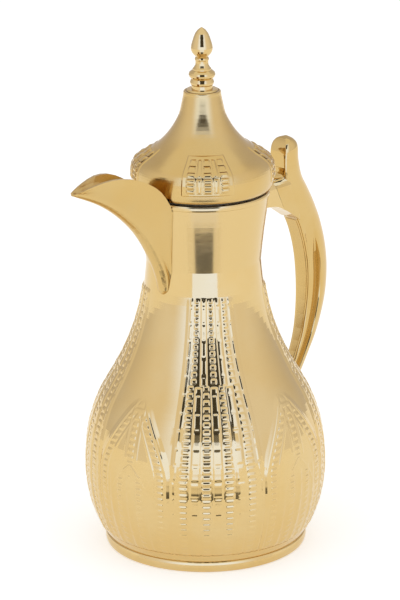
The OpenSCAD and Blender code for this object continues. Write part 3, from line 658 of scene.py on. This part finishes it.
def casing_points(rings):
    """Points of the handle's casing, ring by ring from the knob to the foot."""
    face = body_face()
    root = face.radius(HANDLE_FOOT)
    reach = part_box("handle_shell")[1].x - root
    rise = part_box("handle_shell")[1].z - HANDLE_FOOT
    columns = list(zip(*HANDLE_SHAPE))
    for ring in range(rings + 1):
        place = ring / HANDLE_STEPS
        values = [curve_through(column, place) for column in columns]
        inner_x = root + reach * values[0] + INNER_GAP
        outer_x = root + reach * values[2]
        inner_z = HANDLE_FOOT + rise * values[1]
        outer_z = HANDLE_FOOT + rise * values[3]
        inner, widest = HANDLE_HALF * values[4], HANDLE_HALF * values[5]
        fade = slope(place - CHANNEL_START, CHANNEL_FADE)
        channel = CHANNEL_DEPTH * fade * widest / HANDLE_HALF
        for column in range(2 * SECTION_HALF + 1):
            turn = column / SECTION_HALF - 1
            depth, half = handle_side(abs(turn), inner, widest, channel)
            x = inner_x + (outer_x - inner_x) * depth
            y = half if turn < 0 else -half
            z = inner_z + (outer_z - inner_z) * depth
            if z < BELLY_TOP:
                wall = face.radius(max(z, HANDLE_FOOT)) - WALL_COVER
                x = max(x, math.sqrt(wall ** 2 - y ** 2))
            yield x, y, z


def handle_arm():
    """The root that reaches from the bracket into the casing, cut from a copy of the solid."""
    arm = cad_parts["handle_shell"].copy()
    arm.data = arm.data.copy()
    arm.parent = None
    bpy.context.scene.collection.objects.link(arm)
    make_active(arm)
    bpy.ops.object.mode_set(mode="EDIT")
    for place, outward in ARM_CUTS:
        bpy.ops.mesh.select_all(action="SELECT")
        bpy.ops.mesh.remove_doubles(threshold=0.005 * MM)
        bpy.ops.mesh.bisect(plane_co=place, plane_no=outward, clear_outer=True, use_fill=True)
    bpy.ops.object.mode_set(mode="OBJECT")
    smooth_by_angle(arm, 40)
    return arm


class DALLAH_OT_handle_casing(bpy.types.Operator):
    """Shapes the handle's rounded casing with a channel down each side"""

    bl_idname = "dallah.handle_casing"
    bl_label = "Handle casing"

    def execute(self, context):
        rings = (len(HANDLE_SHAPE) - 1) * HANDLE_STEPS
        casing = new_grid("handle_casing", 2 * SECTION_HALF, rings)
        for vertex, point in zip(casing.data.vertices, casing_points(rings)):
            vertex.co = point
        self.close(casing)
        smooth_by_angle(casing, 50)
        join_to(casing, handle_arm())
        paint(casing, plated("deep_gold"))
        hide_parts("handle_shell")
        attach(casing, "pot")
        return {"FINISHED"}

    def close(self, casing):
        """Joins the casing's seam and fills its two ends."""
        make_active(casing)
        bpy.ops.object.mode_set(mode="EDIT")
        bpy.ops.mesh.select_all(action="SELECT")
        bpy.ops.mesh.remove_doubles(threshold=0.01 * MM)
        bpy.ops.mesh.select_all(action="DESELECT")
        bpy.ops.mesh.select_mode(type="VERT")
        bpy.ops.mesh.select_non_manifold()
        bpy.ops.mesh.fill()
        bpy.ops.mesh.select_all(action="SELECT")
        bpy.ops.mesh.normals_make_consistent(inside=False)
        bpy.ops.object.mode_set(mode="OBJECT")


# ---- materials

WHITE = (1, 1, 1)
DEEPER = (0.93, 0.89, 0.78)  # tint of the plating on lid, spout and handle
# For each plating: the setting that gives its roughness, the roughness's spread to either
# side, the scale of its clouds, the depth of its grain and its tint.
PLATINGS = {
    "satin_gold": ("satin", 0.03, 22.0, 0.004 * MM, DEEPER),
    "bright_gold": ("bright", 0.02, 22.0, 0.002 * MM, WHITE),
    "deep_gold": ("polish", 0.02, 35.0, 0.002 * MM, DEEPER),
    "polished_gold": ("polish", 0.03, 35.0, 0.002 * MM, WHITE),
}
SCRATCH_SCALE = 5200.0
SCRATCH_LENGTH = (0.02, 0.02, 1.0)  # draws the scratches out level
SCRATCH_DEPTH = 0.015 * MM
SCRATCH_ROUGHNESS = (0.08, 0.2)
HAZE_SOCKETS = (
    ("Vector", "INPUT", "Vector", None),
    ("Bright", "INPUT", "Color", (1, 1, 1, 1)),
    ("Hazy", "INPUT", "Color", (1, 1, 1, 1)),
    ("Cloud Scale", "INPUT", "Float", 20.0),
    ("Grain Scale", "INPUT", "Float", 1500.0),
    ("Color", "OUTPUT", "Color", None),
    ("Haze", "OUTPUT", "Float", None),
    ("Grain", "OUTPUT", "Float", None),
)


def put(tree, entry, value):
    """Gives an input socket a number, a colour or a link from an output socket."""
    if isinstance(value, bpy.types.NodeSocket):
        tree.links.new(value, entry)
    elif entry.type == "RGBA":
        entry.default_value = (*value[:3], 1)
    else:
        entry.default_value = value


def feed(tree, node, **inputs):
    """Puts values into a node's inputs, by their names."""
    for name, value in inputs.items():
        put(tree, node.inputs[name.replace("_", " ")], value)
    return node


def new_node(tree, kind, **inputs):
    return feed(tree, tree.nodes.new(kind), **inputs)


def colour_node(tree, share, low, high):
    """Mixes two colours by a share; gives the output socket."""
    node = new_node(tree, "ShaderNodeMix", Factor=share)
    node.data_type = "RGBA"
    sockets = {socket.identifier: socket for socket in (*node.inputs, *node.outputs)}
    put(tree, sockets["A_Color"], low)
    put(tree, sockets["B_Color"], high)
    return sockets["Result_Color"]


def haze_group():
    """Soft clouds in the plating: a colour, a mask and a fine grain height."""
    name = "plating_haze"
    if name in bpy.data.node_groups:
        return bpy.data.node_groups[name]
    group = bpy.data.node_groups.new(name, "ShaderNodeTree")
    for label, way, kind, default in HAZE_SOCKETS:
        socket = group.interface.new_socket(
            label, in_out=way, socket_type=f"NodeSocket{kind}")
        if default is not None:
            socket.default_value = default
    start = group.nodes.new("NodeGroupInput").outputs
    clouds = new_node(group, "ShaderNodeTexNoise", Vector=start["Vector"],
                      Scale=start["Cloud Scale"], Detail=4.0, Roughness=0.55)
    spread = new_node(group, "ShaderNodeMapRange", Value=clouds.outputs["Fac"],
                      From_Min=0.35, From_Max=0.68)
    spread.interpolation_type = "SMOOTHSTEP"
    grain = new_node(group, "ShaderNodeTexNoise", Vector=start["Vector"],
                     Scale=start["Grain Scale"], Detail=2.0)
    haze = spread.outputs["Result"]
    new_node(group, "NodeGroupOutput", Haze=haze, Grain=grain.outputs["Fac"],
             Color=colour_node(group, haze, start["Bright"], start["Hazy"]))
    return group


def blank_material(name, metallic, stretch=(1, 1, 1)):
    """A new material with its shader and the socket of stretched object coordinates."""
    material = bpy.data.materials.new(name)
    material.use_nodes = True
    tree = material.node_tree
    shader = feed(tree, tree.nodes["Principled BSDF"], Metallic=metallic)
    place = tree.nodes.new("ShaderNodeTexCoord").outputs["Object"]
    mapping = new_node(tree, "ShaderNodeMapping", Vector=place, Scale=stretch)
    return material, tree, shader, mapping.outputs["Vector"]


def surface(tree, shader, colour, mask, roughness, height, depth):
    """Feeds the shader a colour, a roughness from a mask and a normal from a height."""
    low, high = roughness
    span = new_node(tree, "ShaderNodeMapRange", Value=mask, To_Min=low, To_Max=high)
    bump = new_node(tree, "ShaderNodeBump", Height=height, Distance=depth, Strength=1.0)
    feed(tree, shader, Base_Color=colour, Roughness=span.outputs["Result"],
         Normal=bump.outputs["Normal"])


def hazy(name, bright, dull, roughness, grain_depth, metallic=1.0, **scales):
    """A material with clouds between two colours and two roughnesses, and a fine grain."""
    if name in bpy.data.materials:
        return bpy.data.materials[name]
    material, tree, shader, place = blank_material(name, metallic)
    node = tree.nodes.new("ShaderNodeGroup")
    node.node_tree = haze_group()
    haze = feed(tree, node, Vector=place, Bright=bright, Hazy=dull, **scales).outputs
    surface(tree, shader, haze["Color"], haze["Haze"], roughness, haze["Grain"], grain_depth)
    return material


def tinted(colour, tint):
    return tuple(part * share for part, share in zip(colour, tint))


def plated(name):
    """Champagne gold plating with clouds of haze and a fine grain, deepened by a tint."""
    finish = bpy.context.scene.dallah_finish
    setting, spread, clouds, grain_depth, tint = PLATINGS[name]
    roughness = getattr(finish, setting)
    return hazy(name, tinted(finish.gold, tint), tinted(finish.pale_gold, tint),
                (roughness - spread, roughness + spread), grain_depth, Cloud_Scale=clouds)


def brushed_gold():
    """Gold plating brushed round the pot, in level scratches that draw reflections upwards."""
    name = "brushed_gold"
    if name in bpy.data.materials:
        return bpy.data.materials[name]
    finish = bpy.context.scene.dallah_finish
    material, tree, shader, place = blank_material(name, 1.0, SCRATCH_LENGTH)
    scratches = new_node(tree, "ShaderNodeTexNoise", Vector=place, Scale=SCRATCH_SCALE,
                         Detail=3.0).outputs["Fac"]
    colour = colour_node(tree, scratches, finish.gold, finish.pale_gold)
    surface(tree, shader, colour, scratches, SCRATCH_ROUGHNESS, scratches, SCRATCH_DEPTH)
    return material


def moulded(name, colour, roughness, grain_scale=900.0, grain_depth=0.02 * MM):
    """Moulded plastic, rubber or foam with a fine skin."""
    return hazy(name, colour, tinted(colour, (0.93, 0.93, 0.93)),
                (roughness - 0.05, roughness + 0.05), grain_depth, metallic=0.0,
                Grain_Scale=grain_scale)


def bare_metal(name, colour, roughness):
    """Bare bright metal or silvering with faint clouds."""
    return hazy(name, colour, tinted(colour, (0.9, 0.9, 0.9)),
                (roughness, roughness + 0.08), 0.005 * MM)


def finish_nodes(material, *nodes):
    """Gives CAD nodes a material in every slot."""
    for node in nodes:
        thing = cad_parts[node]
        if not thing.data.materials:
            thing.data.materials.append(material)
        for slot in thing.material_slots:
            slot.link = "DATA"
            slot.material = material


class DALLAH_OT_plating(bpy.types.Operator):
    """Plates the shells, the spout, the handle, the lid and the finial"""

    bl_idname = "dallah.plating"
    bl_label = "Plating"

    def execute(self, context):
        finish_nodes(plated("bright_gold"), "body_shell")
        finish_nodes(plated("satin_gold"), "spout", "lid_dome", "handle_inner_cover")
        finish_nodes(brushed_gold(), "neck_collar")
        finish_nodes(plated("polished_gold"), "foot_ring", "handle_shell", "finial")
        return {"FINISHED"}


class DALLAH_OT_inner_parts(bpy.types.Operator):
    """Finishes the plastic, rubber, foam, glass and steel parts inside"""

    bl_idname = "dallah.inner_parts"
    bl_label = "Inner parts"

    def execute(self, context):
        ivory = moulded("ivory_plastic", context.scene.dallah_finish.ivory, 0.42)
        finish_nodes(ivory, "neck_insert", "stopper_body", "valve_plunger", "lid_base",
                     "liner_spacers")
        finish_nodes(moulded("beige_plastic", (0.48, 0.39, 0.27), 0.45), "bottom_cap")
        silicone = moulded("soft_silicone", (0.64, 0.62, 0.57), 0.6)
        finish_nodes(silicone, "base_cushion", "mouth_seal", "stopper_gasket", "valve_gasket")
        foam = moulded("white_foam", (0.85, 0.84, 0.79), 0.85, 1400.0, 0.15 * MM)
        finish_nodes(foam, "stopper_foam")
        glass = bare_metal("silvered_glass", (0.72, 0.75, 0.79), 0.06)
        finish_nodes(glass, "liner_outer_glass", "liner_inner_glass")
        zinc = bare_metal("zinc_steel", (0.55, 0.55, 0.57), 0.32)
        finish_nodes(zinc, "base_screws", "spout_screws", "handle_top_screw",
                     "handle_bottom_screw", "lid_screws", "finial_screw")
        return {"FINISHED"}


# ---- stage and camera

LIT_CENTRE = Vector((0, 0, 0.12))  # what the light boxes face
BOX_TURN = math.radians(50)  # azimuth of a light box from the camera
BOX_RISE = math.radians(38)
BOX_DISTANCE = 1.6
BOX_WIDTH = 0.9
BOX_HEIGHT = 1.1
FLOOR_RADIUS = 6
FLOOR_GLOW = 0.43
FLOOR_GREY = (0.86, 0.86, 0.86)

TENT_RADIUS = 2.5
TENT_HEIGHT = 3.2
TENT_TURN = math.radians(2)  # azimuth of the tent's slot and of the floor card from the camera
TENT_NEAR = (1.22, 1.52, 2.6)  # colour beside the slot
TENT_FAR = (1.0, 1.0, 1.07)
TENT_BEHIND = (0.66, 0.64, 0.66)
TO_FAR = (math.radians(22), math.radians(60))  # angles between which the colours change
TO_BEHIND = (math.radians(70), math.radians(150))
SLOT_GLOW = (0.07, 0.07, 0.07)
SLOT_HALF = math.radians(9.5)  # half width of the slot at the floor
SLOT_WIDENING = math.radians(22)  # what the half width gains over a height of one radius
SLOT_EDGE = math.radians(0.5)
SLOT_OPENS = (0.30, 0.33)  # heights in radii
SLOT_CLOSES = (1.0, 1.2)

CARD_NEAR = 0.20  # the floor card's distance from the axis
CARD_FAR = 2.4
CARD_HALF = math.radians(24)
CARD_DARK = (0.1, 0.1, 0.1)
CARD_PLAIN = (1.05, 1.03, 1.0)
CARD_COOL = (1.2, 1.5, 2.6)  # the plating mirrors it as a pale highlight
TO_PLAIN = (CARD_NEAR, CARD_NEAR + 0.09)  # distances between which the colours change
TO_COOL = (0.33, 0.7)

FLAG_DISTANCE = 0.16
FLAG_TURN = math.radians(1)
FLAG_HALF = math.atan(90 / 160)
FLAG_LOW = 0.106
FLAG_HIGH = 0.136
FLAG_DARK_LOW = (0.24, 0.25, 0.28)
FLAG_DARK_HIGH = (0.08, 0.08, 0.09)
FLAG_SIDES = (1.03, 1.02, 1.02)
TO_SIDES = (36 * MM, 44 * MM)  # from the card's middle
TO_DARK_HIGH = (FLAG_LOW, 134 * MM)

LENS = 202.9
SENSOR = 36
CLIP_START = 0.05
CAMERA_TURN = math.radians(0.07)  # how far the camera looks past the axis of the pot
CAMERA_ROLL = -0.00896


def light_box(name, azimuth, radiance):
    """An area light that faces the pot, with an even brightness over its face."""
    way = toward(azimuth) * math.cos(BOX_RISE) + Vector((0, 0, math.sin(BOX_RISE)))
    clear_selection()
    bpy.ops.object.light_add(type="AREA", location=LIT_CENTRE + way * BOX_DISTANCE)
    lamp = bpy.context.active_object
    lamp.name = name
    lamp.rotation_euler = (LIT_CENTRE - lamp.location).to_track_quat("-Z", "Y").to_euler()
    lamp.data.shape = "RECTANGLE"
    lamp.data.size = BOX_WIDTH
    lamp.data.size_y = BOX_HEIGHT
    lamp.data.energy = radiance * math.pi * BOX_WIDTH * BOX_HEIGHT
    lamp.visible_glossy = False


def math_node(tree, operation, *values):
    """A Math node with its inputs in order; gives the output socket."""
    node = tree.nodes.new("ShaderNodeMath")
    node.operation = operation
    for entry, value in zip(node.inputs, values):
        put(tree, entry, value)
    return node.outputs["Value"]


def ramp_node(tree, value, low, high, at_low=0, at_high=1):
    """Smoothly takes a value from one level to another; gives the output socket."""
    node = new_node(tree, "ShaderNodeMapRange", Value=value, From_Min=low, From_Max=high,
                    To_Min=at_low, To_Max=at_high)
    node.interpolation_type = "SMOOTHSTEP"
    return node.outputs["Result"]


def seen_from(tree, place, front):
    """Sockets of a place turned to a front: ahead, aside to either hand, and up."""
    turn = new_node(tree, "ShaderNodeMapping", Vector=place, Rotation=(0, 0, -front))
    split = new_node(tree, "ShaderNodeSeparateXYZ", Vector=turn.outputs["Vector"]).outputs
    return split["X"], math_node(tree, "ABSOLUTE", split["Y"]), split["Z"]


def glowing(name, colour_at):
    """A material that only glows, in the colour that colour_at(tree, place) gives."""
    material = bpy.data.materials.new(name)
    material.use_nodes = True
    tree = material.node_tree
    tree.nodes.clear()
    place = tree.nodes.new("ShaderNodeTexCoord").outputs["Object"]
    glow = new_node(tree, "ShaderNodeEmission", Color=colour_at(tree, place))
    new_node(tree, "ShaderNodeOutputMaterial", Surface=glow.outputs["Emission"])
    return material


def mirror_only(thing, material):
    """Gives a stage card its material and shows it to mirrors and to nothing else."""
    thing.data.materials.append(material)
    thing.visible_camera = False
    thing.visible_shadow = False
    thing.visible_diffuse = False
    thing.visible_transmission = False


def mirror_card(name, material, corners):
    """A card with four corners, each (distance, azimuth, height), which mirrors show."""
    clear_selection()
    bpy.ops.mesh.primitive_plane_add(size=1, location=(0, 0, 0))
    card = bpy.context.active_object
    card.name = name
    for vertex, (distance, azimuth, height) in zip(card.data.vertices, corners):
        vertex.co = toward(azimuth) * distance + Vector((0, 0, height))
    mirror_only(card, material)


def light_tent(front):
    """A round white tent, brighter beside a dark slot before the pot, which mirrors show."""

    def cloth(tree, place):
        ahead, aside, up = seen_from(tree, place, front)
        angle = math_node(tree, "ARCTAN2", aside, ahead)
        rise = math_node(tree, "DIVIDE", up, TENT_RADIUS)
        colour = colour_node(tree, ramp_node(tree, angle, *TO_FAR), TENT_NEAR, TENT_FAR)
        colour = colour_node(tree, ramp_node(tree, angle, *TO_BEHIND), colour, TENT_BEHIND)
        widening = math_node(tree, "MULTIPLY", rise, SLOT_WIDENING)
        edge = math_node(tree, "SUBTRACT", angle, widening)
        edge = math_node(tree, "SUBTRACT", edge, SLOT_HALF)
        inside = ramp_node(tree, edge, -SLOT_EDGE, SLOT_EDGE, 1, 0)
        above = ramp_node(tree, rise, *SLOT_OPENS)
        below = ramp_node(tree, rise, *SLOT_CLOSES, 1, 0)
        slot = math_node(tree, "MULTIPLY", inside, above)
        slot = math_node(tree, "MULTIPLY", slot, below)
        return colour_node(tree, slot, colour, SLOT_GLOW)

    clear_selection()
    bpy.ops.mesh.primitive_cylinder_add(
        vertices=96, radius=TENT_RADIUS, depth=TENT_HEIGHT, end_fill_type="NOTHING",
        location=(0, 0, TENT_HEIGHT / 2),
    )
    tent = bpy.context.active_object
    tent.name = "tent"
    bpy.ops.object.transform_apply(location=True, rotation=True, scale=True)
    mirror_only(tent, glowing("tent_cloth", cloth))


def floor_card(front):
    """A bright sheet on the floor before the pot, dark at its near edge."""

    def sheet(tree, place):
        reach = new_node(tree, "ShaderNodeVectorMath", Vector=place)
        reach.operation = "LENGTH"
        out = reach.outputs["Value"]
        colour = colour_node(tree, ramp_node(tree, out, *TO_PLAIN), CARD_DARK, CARD_PLAIN)
        return colour_node(tree, ramp_node(tree, out, *TO_COOL), colour, CARD_COOL)

    mirror_card("floor_card", glowing("floor_card", sheet), [
        (distance, front + side * CARD_HALF, 1 * MM)
        for distance in (CARD_NEAR, CARD_FAR) for side in (-1, 1)])


def collar_flag(front):
    """A small card before the pot, dark in the middle, which the collar mirrors."""

    def card(tree, place):
        _, aside, up = seen_from(tree, place, front)
        dark = colour_node(
            tree, ramp_node(tree, up, *TO_DARK_HIGH), FLAG_DARK_LOW, FLAG_DARK_HIGH)
        return colour_node(tree, ramp_node(tree, aside, *TO_SIDES), dark, FLAG_SIDES)

    mirror_card("collar_flag", glowing("collar_card", card), [
        (FLAG_DISTANCE, front + side * FLAG_HALF, height)
        for height in (FLAG_LOW, FLAG_HIGH) for side in (-1, 1)])


def shown_rays(tree):
    """A mask that is 1 for camera, glossy and transmission rays."""
    path = tree.nodes.new("ShaderNodeLightPath").outputs
    mirrored = math_node(tree, "MAXIMUM", path["Is Camera Ray"], path["Is Glossy Ray"])
    return math_node(tree, "MAXIMUM", mirrored, path["Is Transmission Ray"])


def white_room(room_light):
    """A world that is white behind the pot and in mirrors, and softer on matt surfaces."""
    world = bpy.data.worlds.new("white_room")
    bpy.context.scene.world = world
    world.use_nodes = True
    tree = world.node_tree
    tree.nodes.clear()
    mix = new_node(tree, "ShaderNodeMixShader", Fac=shown_rays(tree))
    for entry, strength in ((1, room_light), (2, 1.0)):
        light = new_node(tree, "ShaderNodeBackground", Color=WHITE, Strength=strength)
        put(tree, mix.inputs[entry], light.outputs["Background"])
    new_node(tree, "ShaderNodeOutputWorld", Surface=mix.outputs["Shader"])


def white_floor():
    """A pale floor that stays white round the pot and keeps its shadow."""
    clear_selection()
    bpy.ops.mesh.primitive_circle_add(
        vertices=96, radius=FLOOR_RADIUS, fill_type="NGON", location=(0, 0, 0))
    floor = bpy.context.active_object
    floor.name = "floor"
    material = bpy.data.materials.new("floor_paint")
    material.use_nodes = True
    tree = material.node_tree
    glow = math_node(tree, "MULTIPLY", shown_rays(tree), FLOOR_GLOW)
    feed(tree, tree.nodes["Principled BSDF"], Base_Color=FLOOR_GREY, Roughness=0.8,
         Specular_IOR_Level=0.1, Emission_Color=WHITE, Emission_Strength=glow)
    floor.data.materials.append(material)


class DALLAH_OT_stage(bpy.types.Operator):
    """Sets up the floor, the white room, the tent, the cards and the light boxes"""

    bl_idname = "dallah.stage"
    bl_label = "Stage"

    def execute(self, context):
        studio = context.scene.dallah_stage
        front = studio.camera_azimuth
        context.scene.view_settings.view_transform = "Standard"
        white_room(studio.room_light)
        white_floor()
        light_tent(front + TENT_TURN)
        floor_card(front + TENT_TURN)
        collar_flag(front + FLAG_TURN)
        for side, name in ((-1, "left_box"), (1, "right_box")):
            light_box(name, front + side * BOX_TURN, studio.box_light)
        return {"FINISHED"}


class DALLAH_OT_camera(bpy.types.Operator):
    """Places the camera in front of the pot"""

    bl_idname = "dallah.camera"
    bl_label = "Camera"

    def execute(self, context):
        studio = context.scene.dallah_stage
        place = toward(studio.camera_azimuth) * studio.camera_distance
        place.z = studio.camera_height
        ahead = toward(studio.camera_azimuth + math.pi + CAMERA_TURN)
        ahead.z = -math.tan(studio.camera_pitch)
        ahead.normalize()
        right = ahead.cross(Vector((0, 0, 1))).normalized()
        up = right.cross(ahead)
        tilted_right = right * math.cos(CAMERA_ROLL) + up * math.sin(CAMERA_ROLL)
        tilted_up = up * math.cos(CAMERA_ROLL) - right * math.sin(CAMERA_ROLL)
        clear_selection()
        bpy.ops.object.camera_add(location=place)
        camera = bpy.context.active_object
        axes = Matrix((tilted_right, tilted_up, -ahead)).transposed()
        camera.rotation_euler = axes.to_euler()
        camera.data.sensor_width = SENSOR
        camera.data.lens = LENS
        camera.data.clip_start = CLIP_START
        context.scene.camera = camera
        return {"FINISHED"}


# ---- add-on

class DALLAH_PT_panel(bpy.types.Panel):
    """Lists the steps that dress the pot"""

    bl_label = "Dallah"
    bl_idname = "DALLAH_PT_panel"
    bl_space_type = "VIEW_3D"
    bl_region_type = "UI"
    bl_category = "Dallah"

    def draw(self, context):
        for group in GROUPS:
            settings = getattr(context.scene, group)
            box = self.layout.box()
            for prop in settings.bl_rna.properties:
                if not prop.is_readonly and prop.identifier != "name":
                    box.prop(settings, prop.identifier)
        for step in STEPS:
            self.layout.operator(step.bl_idname)


STEPS = (
    DALLAH_OT_camera,
    DALLAH_OT_stage,
    DALLAH_OT_plating,
    DALLAH_OT_inner_parts,
    DALLAH_OT_tall_motifs,
    DALLAH_OT_short_motifs,
    DALLAH_OT_lid_panels,
    DALLAH_OT_handle_casing,
)
GROUPS = {
    "dallah_embossing": DallahEmbossing,
    "dallah_finish": DallahFinish,
    "dallah_stage": DallahStage,
}
CLASSES = (*GROUPS.values(), *STEPS, DALLAH_PT_panel)


def register():
    for item in CLASSES:
        bpy.utils.register_class(item)
    for name, group in GROUPS.items():
        setattr(bpy.types.Scene, name, PointerProperty(type=group))


def unregister():
    for name in GROUPS:
        delattr(bpy.types.Scene, name)
    for item in reversed(CLASSES):
        bpy.utils.unregister_class(item)


def main():
    register()
    bpy.ops.dallah.camera()
    bpy.ops.dallah.stage()
    bpy.ops.dallah.plating()
    bpy.ops.dallah.inner_parts()
    bpy.ops.dallah.tall_motifs()
    bpy.ops.dallah.short_motifs()
    bpy.ops.dallah.lid_panels()
    bpy.ops.dallah.handle_casing()


if __name__ == "__main__":
    main()
